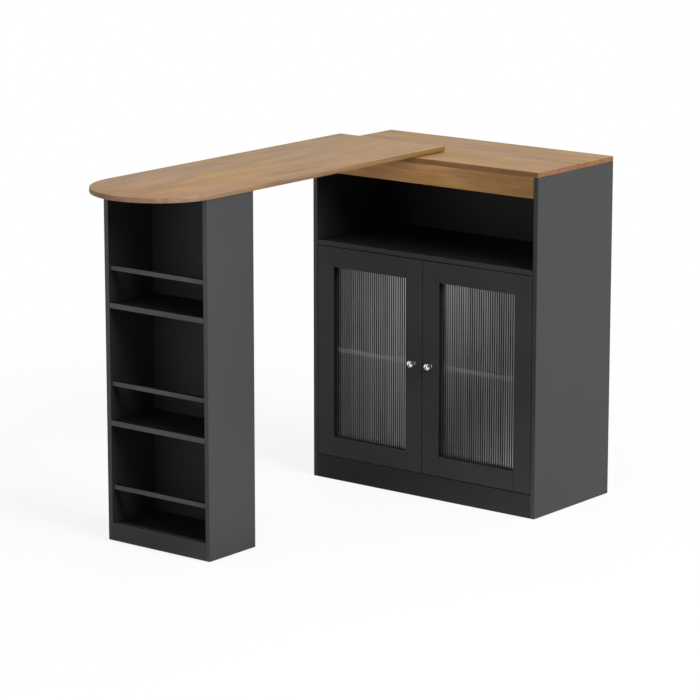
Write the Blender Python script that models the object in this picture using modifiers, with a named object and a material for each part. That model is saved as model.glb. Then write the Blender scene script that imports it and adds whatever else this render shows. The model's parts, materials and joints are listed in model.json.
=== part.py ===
"""L-shaped bar table: a two-door cabinet, and a bar on a shelf tower that swings about a corner pivot.

Metres, +Z up. The cabinet's doors face -Y and the bar runs towards -Y from the cabinet's left part.
The origin is on the floor, in the middle of the whole table's box.
"""
import math

import bmesh
import bpy
from mathutils import Vector

# Boards and fits
BOARD = 0.015            # thickness of every dark board
FIT = 0.0003             # gap between pieces that touch
EDGE_ROUND = 0.0008      # rounding of a board's edges

# Cabinet
CAB_WIDTH = 0.817
CAB_DEPTH = 0.380
SIDE_HEIGHT = 0.9995
TOP_THICK = 0.015
PLINTH_HEIGHT = 0.070
DIVIDER_TOP = 0.731      # upper face of the shelf above the doors
INNER_SHELF_TOP = 0.400  # upper face of the loose shelf behind the doors
INNER_SHELF_BACK = 0.045  # the loose shelf's front edge lies this far behind the cabinet's front
SHELF_PLAY = 0.0006
APRON_HEIGHT = 0.061
APRON_THICK = 0.015
APRON_BACK = 0.001       # the apron lies this far behind the cabinet's front
BACK_THICK = 0.005
BACK_INSET = 0.010       # from the sides' rear edges to the back panel
BACK_GROOVE = 0.006      # depth of the groove that holds the back panel
BACK_DROP = 0.025        # the back panel reaches this far below the base board's upper face

# Doors
DOOR_GAP = 0.002
DOOR_THICK = 0.020
STILE_WIDTH = 0.060
RAIL_WIDTH = 0.060
REBATE_WIDTH = 0.008
REBATE_DEPTH = 0.0045
GLASS_PLAY = 0.001
GLASS_PLAIN = 0.003      # thickness of the pane without its flutes
FLUTE_PITCH = 0.008
FLUTE_RISE = 0.001
FLUTE_STEPS = 5          # flats along each flute
BEAD_WIDTH = 0.013
BEAD_THICK = 0.002
KNOB_HEIGHT = 0.402      # above the floor
KNOB_RADIUS = 0.012
KNOB_REACH = 0.026       # from the door's face to the knob's front
KNOB_NECK = 0.0045       # radius of the neck
KNOB_ROSE = 0.008        # radius of the foot on the door
KNOB_ROSE_THICK = 0.002

# Hinges in the doors' outer stiles
HINGE_INSET = 0.090      # from the door's top and bottom edges to the hinges' middles
CUP_EDGE = 0.005         # from the door's outer edge to the cup
CUP_RADIUS = 0.0175
CUP_DEPTH = 0.0113
CUP_WALL = 0.001
CUP_FLOOR = 0.0008
CUP_RIM = 0.0007         # thickness of the rim and the wings on the door's back
CUP_WING_LENGTH = 0.052
CUP_WING_WIDTH = 0.014
CUP_PIN = 0.0008         # radius of the stop pin in the cup
ARM_PIN = 0.0009         # radius of the pin that the link turns on
ARM_PIN_OUT = 0.00275    # from the side panel's inner face to the pin
ARM_PIN_BACK = 0.0025    # from the door's back to the pin
ARM_EAR_OUT = 0.0052
ARM_EAR_THICK = 0.0027
ARM_WEB_START = 0.0145   # from the door's back to the arm's web
ARM_LENGTH = 0.066       # from the door's back to the arm's rear end
ARM_OUT = 0.011
PLATE_START = 0.030
PLATE_END = 0.060
PLATE_THICK = 0.0028
PLATE_HEIGHT = 0.044
LINK_THICK = 0.0014
LINK_HEIGHT = 0.007
LINK_EYE = 0.0019
LINK_SHOULDER = (0.0105, 0.0100)  # out from the side panel, behind the door's back
# The link's hook: out from the cup's middle, behind the door's back
LINK_HOOK = ((0.0105, 0.0105), (0.0170, 0.00525), (0.0140, 0.00125), (0.0127, -0.0050))

# Bar
BAR_WIDTH = 0.394
BAR_THICK = 0.015
BAR_EASE = 0.002         # rounding of the bar's edges
BAR_LAP = 0.140          # length of bar that lies over the cabinet
BAR_OVERHANG = 0.0095    # beyond the cabinet's left side
BAR_NOSE = 0.167         # beyond the tower's front
NOSE_STEPS = 64          # flats round the bar's half-round end
KNEE_SPACE = 0.726       # from the cabinet's front to the tower

# Pivot between the cabinet's top and the bar
POST_RADIUS = 0.010
POST_FLANGE = 0.035
POST_FLANGE_THICK = 0.003
BUSH_WALL = 0.0018
BUSH_FLANGE = 0.022
BUSH_FLANGE_THICK = 0.0012
NUT_FLANGE = 0.020
NUT_FLANGE_THICK = 0.003
NUT_RADIUS = 0.016       # across the corners
NUT_HEIGHT = 0.011       # with its flange
POST_END = 0.002         # the post shows this far below the nut

# Shelf tower
TOWER_WIDTH = 0.375
TOWER_DEPTH = 0.197
TOWER_FLOOR_GAP = 0.003
UPPER_SHELF_TOP = 0.688
LOWER_SHELF_TOP = 0.3515
RAIL_HEIGHT = 0.013
RAIL_THICK = 0.015
RAIL_SET_BACK = 0.009
UPPER_RAIL_RISE = 0.104  # from a shelf's upper face to the top of its guard rail
LOWER_RAIL_RISE = 0.1105
BASE_RAIL_RISE = 0.1095

# Casters behind the tower's plinth
WHEEL_RADIUS = 0.0135
WHEEL_WIDTH = 0.014
WHEEL_ROUND = 0.003
AXLE_RADIUS = 0.0025
CASTER_TRAIL = 0.009
CASTER_INSET = 0.032     # from the tower's inner faces to a caster's stem
FORK_GAP = 0.0008        # between the wheel and each fork leg
FORK_LEG = 0.002
FORK_DROP = 0.005        # the legs reach this far below the axle
FORK_FRONT = 0.0095      # fork length ahead of the stem
FORK_REAR = 0.009        # fork length behind the axle
FORK_ROOF_GAP = 0.002    # between the wheel and the fork's roof
FORK_ROOF = 0.004
BOSS_RADIUS = 0.008
BOSS_HEIGHT = 0.0057
STEM_RADIUS = 0.004
STEM_LENGTH = 0.010

# Places that follow from the sizes above
total_width = CAB_WIDTH + BAR_OVERHANG
bar_reach = KNEE_SPACE + TOWER_DEPTH + BAR_NOSE
total_depth = CAB_DEPTH + bar_reach
cab_right = total_width / 2
cab_left = cab_right - CAB_WIDTH
cab_back = total_depth / 2
cab_front = cab_back - CAB_DEPTH
in_left = cab_left + BOARD
in_right = cab_right - BOARD
panel_rear = cab_back - BACK_INSET
panel_front = panel_rear - BACK_THICK
divider_under = DIVIDER_TOP - BOARD
top_under = SIDE_HEIGHT + FIT
top_upper = top_under + TOP_THICK
bar_left = -total_width / 2
bar_right = bar_left + BAR_WIDTH
bar_rear = cab_front + BAR_LAP
bar_end = -total_depth / 2
bush_upper = top_upper + FIT + BUSH_FLANGE_THICK
bar_under = bush_upper + FIT
bar_upper = bar_under + BAR_THICK
# The pivot lies alike from the bar's side and rear, so the bar turns to lie square over the cabinet
pivot_inset = (BAR_LAP + (BAR_WIDTH - CAB_DEPTH) / 2) / 2
pivot_x = bar_left + pivot_inset
pivot_y = bar_rear - pivot_inset
tower_left = bar_left + (BAR_WIDTH - TOWER_WIDTH) / 2
tower_right = tower_left + TOWER_WIDTH
tower_back = cab_front - KNEE_SPACE
tower_front = tower_back - TOWER_DEPTH
tower_top = bar_under - FIT
fork_under = 2 * WHEEL_RADIUS + FORK_ROOF_GAP
fork_upper = fork_under + FORK_ROOF
base_under = fork_upper + BOSS_HEIGHT + FIT
base_top = base_under + BOARD
door_low = PLINTH_HEIGHT + DOOR_GAP
door_high = divider_under - DOOR_GAP
door_back = cab_front + DOOR_THICK
door_width = (in_right - in_left - 3 * DOOR_GAP) / 2

for old in list(bpy.data.objects):
    bpy.data.objects.remove(old, do_unlink=True)

parts = bpy.data.collections.new("bar_table")
cutters = bpy.data.collections.new("cutters")
bpy.context.scene.collection.children.link(parts)
bpy.context.scene.collection.children.link(cutters)


def material(name, colour, roughness, metallic=0.0):
    """A Principled material of one colour."""
    made = bpy.data.materials.new(name)
    made.use_nodes = True
    shader = made.node_tree.nodes["Principled BSDF"]
    shader.inputs["Base Color"].default_value = (*colour, 1.0)
    shader.inputs["Roughness"].default_value = roughness
    shader.inputs["Metallic"].default_value = metallic
    return made


oak = material("oak_laminate", (0.36, 0.22, 0.12), 0.5)
dark = material("black_melamine", (0.045, 0.045, 0.046), 0.55)
glass = material("fluted_glass", (0.16, 0.165, 0.17), 0.12)
chrome = material("polished_chrome", (0.75, 0.75, 0.76), 0.08, 1.0)
steel = material("zinc_steel", (0.5, 0.5, 0.51), 0.35, 1.0)
nylon = material("black_nylon", (0.03, 0.03, 0.03), 0.5)


def place_of(thing):
    """World place of an object whose parents are never turned."""
    place = Vector((0.0, 0.0, 0.0))
    while thing is not None:
        place += thing.location
        thing = thing.parent
    return place


def carrier(name, place, parent=None):
    """An empty on a joint's axis, which carries the pieces that move with it."""
    empty = bpy.data.objects.new(name, None)
    parts.objects.link(empty)
    empty.parent = parent
    empty.location = Vector(place) - place_of(parent)
    return empty


def add(name, mesh, finish, parent, place, turn=(0.0, 0.0, 0.0)):
    """A named piece, placed in the world and carried by its parent."""
    piece = bpy.data.objects.new(name, mesh)
    parts.objects.link(piece)
    piece.parent = parent
    piece.location = Vector(place) - place_of(parent)
    piece.rotation_euler = turn
    mesh.materials.clear()
    mesh.materials.append(finish)
    return piece


def tool(name, mesh, place, turn=(0.0, 0.0, 0.0)):
    """A hidden body that cuts a piece or is joined to it."""
    body = bpy.data.objects.new(name, mesh)
    cutters.objects.link(body)
    body.location = place
    body.rotation_euler = turn
    body.hide_render = True
    body.display_type = "WIRE"
    return body


def box_mesh(name, size):
    """A box round its own middle."""
    bm = bmesh.new()
    bmesh.ops.create_cube(bm, size=1.0)
    bmesh.ops.scale(bm, vec=size, verts=bm.verts)
    mesh = bpy.data.meshes.new(name)
    bm.to_mesh(mesh)
    bm.free()
    return mesh


def rod_mesh(name, radius, length, sides=24):
    """A round bar along Z, round its own middle."""
    bm = bmesh.new()
    bmesh.ops.create_cone(bm, cap_ends=True, segments=sides, radius1=radius, radius2=radius, depth=length)
    mesh = bpy.data.meshes.new(name)
    bm.to_mesh(mesh)
    bm.free()
    return mesh


def span(low, high):
    """Middle and size of the box between two corners, in any order."""
    low, high = Vector(low), Vector(high)
    return (low + high) / 2, Vector(abs(b - a) for a, b in zip(low, high))


def board(name, low, high, finish, parent, edge=EDGE_ROUND):
    """A flat board between two corners, with softened edges."""
    middle, size = span(low, high)
    piece = add(name, box_mesh(name, size), finish, parent, middle)
    if edge:
        bevel = piece.modifiers.new("soft_edges", "BEVEL")
        bevel.width = edge
        bevel.segments = 1
    return piece


def box_tool(name, low, high):
    middle, size = span(low, high)
    return tool(name, box_mesh(name, size), middle)


def combine(piece, body, operation):
    """Cut a piece with a hidden body, or join the body to it."""
    change = piece.modifiers.new(body.name, "BOOLEAN")
    change.operation = operation
    change.object = body


def cut(piece, body):
    combine(piece, body, "DIFFERENCE")


def join(piece, body):
    combine(piece, body, "UNION")


def turned(name, profile, finish, parent, place, turn=(0.0, 0.0, 0.0), steps=32, closed=False):
    """A turned piece: (radius, height) points from top to bottom, spun round Z."""
    bm = bmesh.new()
    points = [bm.verts.new((radius, 0.0, height)) for radius, height in profile]
    for first, second in zip(points, points[1:]):
        bm.edges.new((first, second))
    if closed:
        bm.edges.new((points[-1], points[0]))
    mesh = bpy.data.meshes.new(name)
    bm.to_mesh(mesh)
    bm.free()
    piece = add(name, mesh, finish, parent, place, turn)
    spin = piece.modifiers.new("spin", "SCREW")
    spin.steps = steps
    spin.render_steps = steps
    spin.use_merge_vertices = True
    spin.merge_threshold = 0.00001
    spin.use_smooth_shade = True
    return piece


def outline_mesh(name, loops, thickness, ease=0.0):
    """A flat plate in XY from closed outlines (the first outside, the rest holes), round its mid-height."""
    curve = bpy.data.curves.new(name, "CURVE")
    curve.dimensions = "2D"
    curve.fill_mode = "BOTH"
    curve.extrude = thickness / 2 - ease
    curve.bevel_depth = ease
    curve.bevel_resolution = 1
    curve.offset = -ease
    for loop in loops:
        spline = curve.splines.new("POLY")
        spline.points.add(len(loop) - 1)
        for point, (x, y) in zip(spline.points, loop):
            point.co = (x, y, 0.0, 1.0)
        spline.use_cyclic_u = True
    holder = bpy.data.objects.new(name, curve)
    cutters.objects.link(holder)
    bpy.context.view_layer.update()
    mesh = bpy.data.meshes.new_from_object(holder.evaluated_get(bpy.context.evaluated_depsgraph_get()))
    bpy.data.objects.remove(holder)
    bm = bmesh.new()
    bm.from_mesh(mesh)
    bmesh.ops.remove_doubles(bm, verts=bm.verts, dist=0.00001)
    bmesh.ops.recalc_face_normals(bm, faces=bm.faces)
    bm.to_mesh(mesh)
    bm.free()
    return mesh


def rectangle(width, height):
    """Corners of a rectangle round the origin."""
    x, y = width / 2, height / 2
    return [(-x, -y), (x, -y), (x, y), (-x, y)]


FACE_FRONT = (math.pi / 2, 0.0, 0.0)   # local Z to -Y
FACE_BACK = (-math.pi / 2, 0.0, 0.0)   # local Z to +Y

# Carriers of the moving groups
cabinet = carrier("cabinet", (0.0, 0.0, 0.0))
bar = carrier("bar_swing", (pivot_x, pivot_y, bar_under), cabinet)

# Cabinet sides, each with a groove for the back panel
for side, outer, inner in (("left", cab_left, in_left), ("right", cab_right, in_right)):
    panel = board(f"cabinet_side_{side}", (outer, cab_front, 0.0), (inner, cab_back, SIDE_HEIGHT), dark, cabinet)
    into = inner + math.copysign(BACK_GROOVE, outer - inner)
    past = inner - math.copysign(BACK_GROOVE, outer - inner)
    cut(panel, box_tool(f"back_groove_{side}", (into, panel_front - FIT, -BOARD),
                        (past, panel_rear + FIT, SIDE_HEIGHT + BOARD)))

# Boards between the sides
left, right = in_left + FIT, in_right - FIT
board("cabinet_plinth", (left, cab_front, 0.0), (right, cab_front + BOARD, PLINTH_HEIGHT), dark, cabinet)
board("cabinet_base", (left, cab_front + BOARD + FIT, PLINTH_HEIGHT - BOARD),
      (right, panel_front - FIT, PLINTH_HEIGHT), dark, cabinet)
board("cabinet_rear_plinth", (left, panel_front - FIT - BOARD, 0.0),
      (right, panel_front - FIT, PLINTH_HEIGHT - BOARD - FIT), dark, cabinet)
board("cabinet_divider", (left, cab_front, divider_under), (right, panel_front - FIT, DIVIDER_TOP), dark, cabinet)
board("cabinet_inner_shelf", (in_left + SHELF_PLAY, cab_front + INNER_SHELF_BACK, INNER_SHELF_TOP - BOARD),
      (in_right - SHELF_PLAY, panel_front - SHELF_PLAY, INNER_SHELF_TOP), dark, cabinet)
board("cabinet_back", (in_left - BACK_GROOVE + FIT, panel_front, PLINTH_HEIGHT - BACK_DROP),
      (in_right + BACK_GROOVE - FIT, panel_rear, SIDE_HEIGHT), dark, cabinet, edge=0.0)

# Oak top and the apron under it
top = board("cabinet_top", (cab_left, cab_front, top_under), (cab_right, cab_back, top_upper), oak, cabinet)
board("cabinet_apron", (left, cab_front + APRON_BACK, SIDE_HEIGHT - APRON_HEIGHT),
      (right, cab_front + APRON_BACK + APRON_THICK, SIDE_HEIGHT), oak, cabinet)

# Pivot bush in the top, and the hole that it sits in
bush_inner = POST_RADIUS + FIT
bush_outer = bush_inner + BUSH_WALL
hole_middle = (pivot_x, pivot_y, (top_under + top_upper) / 2)
cut(top, tool("bush_hole", rod_mesh("bush_hole", bush_outer + FIT, TOP_THICK * 2, 48), hole_middle))
turned("pivot_bush", [(bush_inner, bush_upper), (BUSH_FLANGE, bush_upper), (BUSH_FLANGE, top_upper + FIT),
                      (bush_outer, top_upper + FIT), (bush_outer, top_under), (bush_inner, top_under)],
       nylon, cabinet, (pivot_x, pivot_y, 0.0), steps=48, closed=True)


def hinge(side, sense, panel_face, door_edge, level, number, stile, door, links):
    """One concealed hinge: an arm on the side panel, a link, and a cup let into the door's stile."""
    name = f"{side}_hinge_{number}"
    cup_middle = door_edge + sense * (CUP_EDGE + CUP_RADIUS)
    pin_x = panel_face + sense * ARM_PIN_OUT
    pin_y = door_back + ARM_PIN_BACK
    ear_low = LINK_HEIGHT / 2 + FIT
    ear_high = ear_low + ARM_EAR_THICK

    def out(distance):
        return panel_face + sense * distance

    # Arm: mounting plate, web, two ears and the pin between them
    arm = board(f"{name}_arm", (out(FIT), door_back + PLATE_START, level - PLATE_HEIGHT / 2),
                (out(PLATE_THICK), door_back + PLATE_END, level + PLATE_HEIGHT / 2), steel, cabinet, edge=0.0)
    join(arm, box_tool(f"{name}_web", (out(PLATE_THICK / 2), door_back + ARM_WEB_START, level - ear_high),
                       (out(ARM_OUT), door_back + ARM_LENGTH, level + ear_high)))
    for end in (-1, 1):
        join(arm, box_tool(f"{name}_ear_{end}",
                           (out(2 * FIT), pin_y - LINK_EYE + FIT, level + end * ear_low),
                           (out(ARM_EAR_OUT), door_back + ARM_WEB_START + BOARD, level + end * (ear_high - FIT))))
    pin = rod_mesh(f"{name}_pin", ARM_PIN, ear_low + ear_high, 12)
    join(arm, tool(f"{name}_pin", pin, (pin_x, pin_y, level)))

    # Link: a hooked strip that turns on the arm's pin and reaches into the cup
    path = [(pin_x, pin_y), (out(LINK_SHOULDER[0]), door_back + LINK_SHOULDER[1])]
    path += [(cup_middle + sense * reach, door_back + depth) for reach, depth in LINK_HOOK]
    bm = bmesh.new()
    lower = [bm.verts.new((x - pin_x, y - pin_y, -LINK_HEIGHT / 2)) for x, y in path]
    edges = [bm.edges.new(pair) for pair in zip(lower, lower[1:])]
    raised = bmesh.ops.extrude_edge_only(bm, edges=edges)["geom"]
    bmesh.ops.translate(bm, vec=(0.0, 0.0, LINK_HEIGHT), verts=[v for v in raised if isinstance(v, bmesh.types.BMVert)])
    strip = bpy.data.meshes.new(f"{name}_link")
    bm.to_mesh(strip)
    bm.free()
    link = add(f"{name}_link", strip, steel, links, (pin_x, pin_y, level))
    skin = link.modifiers.new("strip", "SOLIDIFY")
    skin.thickness = LINK_THICK
    skin.offset = 0.0
    skin.use_even_offset = True
    eye = rod_mesh(f"{name}_eye", LINK_EYE, LINK_HEIGHT, 16)
    join(link, tool(f"{name}_eye", eye, (pin_x, pin_y, level)))
    bore = rod_mesh(f"{name}_bore", ARM_PIN + FIT, LINK_HEIGHT * 2, 12)
    cut(link, tool(f"{name}_bore", bore, (pin_x, pin_y, level)))

    # Cup: a turned well with a thin rim, two screw wings and a stop pin
    seat = door_back + FIT
    well = CUP_RADIUS - FIT
    bottom = -CUP_DEPTH - FIT
    cup = turned(f"{name}_cup", [(0.0, bottom + CUP_FLOOR), (well - CUP_WALL, bottom + CUP_FLOOR),
                                 (well - CUP_WALL, CUP_RIM), (CUP_RADIUS, CUP_RIM), (CUP_RADIUS, 0.0),
                                 (well, 0.0), (well, bottom), (0.0, bottom)],
                 steel, door, (cup_middle, seat, level), FACE_BACK, steps=32)
    for end in (-1, 1):
        join(cup, box_tool(f"{name}_wing_{end}",
                           (cup_middle - CUP_WING_WIDTH / 2, seat, level + end * (well - CUP_WALL / 2)),
                           (cup_middle + CUP_WING_WIDTH / 2, seat + CUP_RIM, level + end * CUP_WING_LENGTH / 2)))
    tip_x, tip_y = LINK_HOOK[-1]
    stop_x = tip_x + LINK_THICK / 2 + FIT + CUP_PIN
    stop_room = (well - CUP_WALL / 4) ** 2 - (stop_x + CUP_PIN) ** 2
    stop_length = 2 * math.sqrt(max(stop_room, LINK_HEIGHT ** 2 / 4))
    stop = rod_mesh(f"{name}_stop", CUP_PIN, stop_length, 12)
    join(cup, tool(f"{name}_stop", stop, (cup_middle + sense * stop_x, door_back + tip_y + FIT, level)))
    hole = rod_mesh(f"{name}_hole", CUP_RADIUS, 2 * (CUP_DEPTH + FIT), 32)
    cut(stile, tool(f"{name}_hole", hole, (cup_middle, door_back, level), FACE_BACK))


def fluted_pane(width, height):
    """A pane in XY, extruded upwards: plain in front, with round flutes along its back."""
    flutes = int((width - 2 * REBATE_WIDTH) / FLUTE_PITCH)
    start = -flutes * FLUTE_PITCH / 2
    wave = [(start + (flute + step / FLUTE_STEPS) * FLUTE_PITCH,
             GLASS_PLAIN + FLUTE_RISE * math.sin(math.pi * step / FLUTE_STEPS))
            for flute in range(flutes) for step in range(FLUTE_STEPS)]
    wave.append((-start, GLASS_PLAIN))
    face = [(-width / 2, 0.0), (width / 2, 0.0), (width / 2, GLASS_PLAIN)]
    return outline_mesh("fluted_pane", [face + wave[::-1] + [(-width / 2, GLASS_PLAIN)]], height)


# Doors: two stiles and two rails round a fluted pane, on concealed hinges
knob_centre = KNOB_REACH - KNOB_RADIUS
for side, sense, panel_face in (("left", 1, in_left), ("right", -1, in_right)):
    hinge_edge = panel_face + sense * DOOR_GAP
    free_edge = hinge_edge + sense * door_width
    door = carrier(f"{side}_door_swing", (hinge_edge, cab_front, door_low), cabinet)
    links = carrier(f"{side}_link_swing",
                    (panel_face + sense * ARM_PIN_OUT, door_back + ARM_PIN_BACK, door_low), cabinet)
    glass_a = hinge_edge + sense * STILE_WIDTH
    glass_b = free_edge - sense * STILE_WIDTH
    glass_low, glass_high = door_low + RAIL_WIDTH, door_high - RAIL_WIDTH
    rebate = box_tool(f"{side}_rebate",
                      (glass_a - sense * REBATE_WIDTH, door_back - REBATE_DEPTH, glass_low - REBATE_WIDTH),
                      (glass_b + sense * REBATE_WIDTH, door_back + DOOR_THICK, glass_high + REBATE_WIDTH))
    hinge_stile = board(f"{side}_door_hinge_stile", (hinge_edge, cab_front, door_low),
                        (glass_a, door_back, door_high), dark, door)
    meeting_stile = board(f"{side}_door_meeting_stile", (glass_b, cab_front, door_low),
                          (free_edge, door_back, door_high), dark, door)
    rail_a, rail_b = glass_a + sense * FIT, glass_b - sense * FIT
    top_rail = board(f"{side}_door_top_rail", (rail_a, cab_front, glass_high),
                     (rail_b, door_back, door_high), dark, door)
    bottom_rail = board(f"{side}_door_bottom_rail", (rail_a, cab_front, door_low),
                        (rail_b, door_back, glass_low), dark, door)
    for piece in (hinge_stile, meeting_stile, top_rail, bottom_rail):
        cut(piece, rebate)

    opening_width, opening_height = abs(glass_b - glass_a), glass_high - glass_low
    opening_middle = ((glass_a + glass_b) / 2, (glass_low + glass_high) / 2)
    grown = 2 * (REBATE_WIDTH - GLASS_PLAY)
    add(f"{side}_door_glass", fluted_pane(opening_width + grown, opening_height + grown), glass, door,
        (opening_middle[0], door_back - REBATE_DEPTH + FIT, opening_middle[1]))
    ring = [rectangle(opening_width + 2 * BEAD_WIDTH, opening_height + 2 * BEAD_WIDTH),
            rectangle(opening_width, opening_height)]
    add(f"{side}_door_glass_bead", outline_mesh("glass_bead", ring, BEAD_THICK), dark, door,
        (opening_middle[0], door_back + FIT + BEAD_THICK / 2, opening_middle[1]), FACE_FRONT)

    # Knob: a ball on a neck, turned in one piece with its foot
    waist = math.acos(KNOB_NECK / KNOB_RADIUS)
    ball = [(KNOB_RADIUS * math.cos(angle), knob_centre + KNOB_RADIUS * math.sin(angle))
            for angle in (math.pi / 2 + (-waist - math.pi / 2) * step / 12 for step in range(13))]
    ball[0] = (0.0, KNOB_REACH)
    foot = [(KNOB_NECK, KNOB_ROSE_THICK), (KNOB_ROSE, KNOB_ROSE_THICK), (KNOB_ROSE, 0.0), (0.0, 0.0)]
    turned(f"{side}_door_knob", ball + foot, chrome, door,
           (free_edge - sense * STILE_WIDTH / 2, cab_front - FIT, KNOB_HEIGHT), FACE_FRONT, steps=28)

    for number, level in ((1, door_low + HINGE_INSET), (2, door_high - HINGE_INSET)):
        hinge(side, sense, panel_face, hinge_edge, level, number, hinge_stile, door, links)

# Bar board: square at the cabinet, half round at the tower
nose_radius = BAR_WIDTH / 2
nose_middle = bar_end + nose_radius
bar_outline = [(nose_radius, bar_rear - nose_middle), (-nose_radius, bar_rear - nose_middle)]
bar_outline += [(-nose_radius * math.cos(math.pi * step / NOSE_STEPS),
                 -nose_radius * math.sin(math.pi * step / NOSE_STEPS)) for step in range(NOSE_STEPS + 1)]
bar_top = add("bar_top", outline_mesh("bar_top", [bar_outline], BAR_THICK, BAR_EASE), oak, bar,
              ((bar_left + bar_right) / 2, nose_middle, (bar_under + bar_upper) / 2))
pocket = rod_mesh("flange_pocket", POST_FLANGE + FIT, 2 * (POST_FLANGE_THICK + FIT), 48)
cut(bar_top, tool("flange_pocket", pocket, (pivot_x, pivot_y, bar_under)))

# Pivot post, flush in the bar's underside, and the nut that holds it under the cabinet's top
flange_upper = bar_under + POST_FLANGE_THICK
nut_upper = top_under - FIT
nut_under = nut_upper - NUT_HEIGHT
turned("pivot_post", [(0.0, flange_upper), (POST_FLANGE, flange_upper), (POST_FLANGE, bar_under),
                      (POST_RADIUS, bar_under), (POST_RADIUS, nut_under - POST_END), (0.0, nut_under - POST_END)],
       steel, bar, (pivot_x, pivot_y, 0.0), steps=48)
nut = add("pivot_nut", rod_mesh("pivot_nut", NUT_RADIUS, NUT_HEIGHT, 6), steel, bar,
          (pivot_x, pivot_y, (nut_upper + nut_under) / 2))
collar = rod_mesh("nut_flange", NUT_FLANGE, NUT_FLANGE_THICK, 48)
join(nut, tool("nut_flange", collar, (pivot_x, pivot_y, nut_upper - NUT_FLANGE_THICK / 2)))
thread = rod_mesh("nut_bore", POST_RADIUS + FIT, 3 * NUT_HEIGHT, 48)
cut(nut, tool("nut_bore", thread, (pivot_x, pivot_y, nut_upper)))

# Shelf tower under the bar's round end
shelf_left, shelf_right = tower_left + BOARD + FIT, tower_right - BOARD - FIT
shelf_rear = tower_back - BOARD - FIT
board("tower_side_left", (tower_left, tower_front, TOWER_FLOOR_GAP),
      (tower_left + BOARD, tower_back, tower_top), dark, bar)
board("tower_side_right", (tower_right - BOARD, tower_front, TOWER_FLOOR_GAP),
      (tower_right, tower_back, tower_top), dark, bar)
board("tower_back", (shelf_left, tower_back - BOARD, TOWER_FLOOR_GAP), (shelf_right, tower_back, tower_top), dark, bar)
board("tower_plinth", (shelf_left, tower_front, TOWER_FLOOR_GAP),
      (shelf_right, tower_front + BOARD, base_top), dark, bar)
base = board("tower_base", (shelf_left, tower_front + BOARD + FIT, base_under),
             (shelf_right, shelf_rear, base_top), dark, bar)
rail_front = tower_front + RAIL_SET_BACK
for name, shelf_top, rise in (("upper", UPPER_SHELF_TOP, UPPER_RAIL_RISE),
                              ("lower", LOWER_SHELF_TOP, LOWER_RAIL_RISE),
                              ("base", base_top, BASE_RAIL_RISE)):
    if name != "base":
        board(f"tower_shelf_{name}", (shelf_left, tower_front, shelf_top - BOARD),
              (shelf_right, shelf_rear, shelf_top), dark, bar)
    board(f"tower_rail_{name}", (shelf_left, rail_front, shelf_top + rise - RAIL_HEIGHT),
          (shelf_right, rail_front + RAIL_THICK, shelf_top + rise), dark, bar)

# Casters: a hooded fork on a stem in the tower's base, and a wheel on the fork's axle
fork_inner = WHEEL_WIDTH / 2 + FORK_GAP
fork_outer = fork_inner + FORK_LEG
leg_low = WHEEL_RADIUS - FORK_DROP
places = [(x, y) for x in (tower_left + BOARD + CASTER_INSET, tower_right - BOARD - CASTER_INSET)
          for y in (tower_front + BOARD + CASTER_INSET, tower_back - BOARD - CASTER_INSET)]
for number, (x, y) in enumerate(places, start=1):
    name = f"caster_{number}"
    swivel = carrier(f"{name}_swivel", (x, y, base_under), bar)
    axle_x = x + CASTER_TRAIL
    roll = carrier(f"{name}_roll", (axle_x, y, WHEEL_RADIUS), swivel)
    rear_x = axle_x + FORK_REAR
    fork = board(f"{name}_fork", (x - FORK_FRONT, y - fork_outer, leg_low),
                 (rear_x, y + fork_outer, fork_upper), steel, swivel, edge=0.0)
    cut(fork, box_tool(f"{name}_channel", (x - 2 * FORK_FRONT, y - fork_inner, -FORK_DROP),
                       (rear_x + FORK_REAR, y + fork_inner, fork_under)))
    boss_top = fork_upper + BOSS_HEIGHT
    boss = rod_mesh(f"{name}_boss", BOSS_RADIUS, BOSS_HEIGHT + FORK_ROOF / 2, 24)
    join(fork, tool(f"{name}_boss", boss, (x, y, boss_top - (BOSS_HEIGHT + FORK_ROOF / 2) / 2)))
    stem = rod_mesh(f"{name}_stem", STEM_RADIUS, STEM_LENGTH + BOSS_HEIGHT / 2, 16)
    join(fork, tool(f"{name}_stem", stem, (x, y, boss_top + STEM_LENGTH / 2 - BOSS_HEIGHT / 4)))
    axle = rod_mesh(f"{name}_axle", AXLE_RADIUS, fork_inner + fork_outer, 16)
    join(fork, tool(f"{name}_axle", axle, (axle_x, y, WHEEL_RADIUS), FACE_FRONT))
    socket = rod_mesh(f"{name}_socket", STEM_RADIUS + FIT, 2 * (STEM_LENGTH + FIT), 16)
    cut(base, tool(f"{name}_socket", socket, (x, y, base_under)))

    half = WHEEL_WIDTH / 2
    tread = WHEEL_RADIUS - WHEEL_ROUND
    rim = [(tread + WHEEL_ROUND * math.sin(angle), half - WHEEL_ROUND + WHEEL_ROUND * math.cos(angle))
           for angle in (math.pi / 2 * step / 3 for step in range(4))]
    profile = [(AXLE_RADIUS + FIT, half)] + rim + [(r, -h) for r, h in reversed(rim)] + [(AXLE_RADIUS + FIT, -half)]
    turned(f"{name}_wheel", profile, nylon, roll, (axle_x, y, WHEEL_RADIUS), FACE_FRONT, steps=28, closed=True)
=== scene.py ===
"""Looks for the swinging bar table: finishes, fluted panes, small fittings, studio and camera."""
import json
import math

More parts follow.
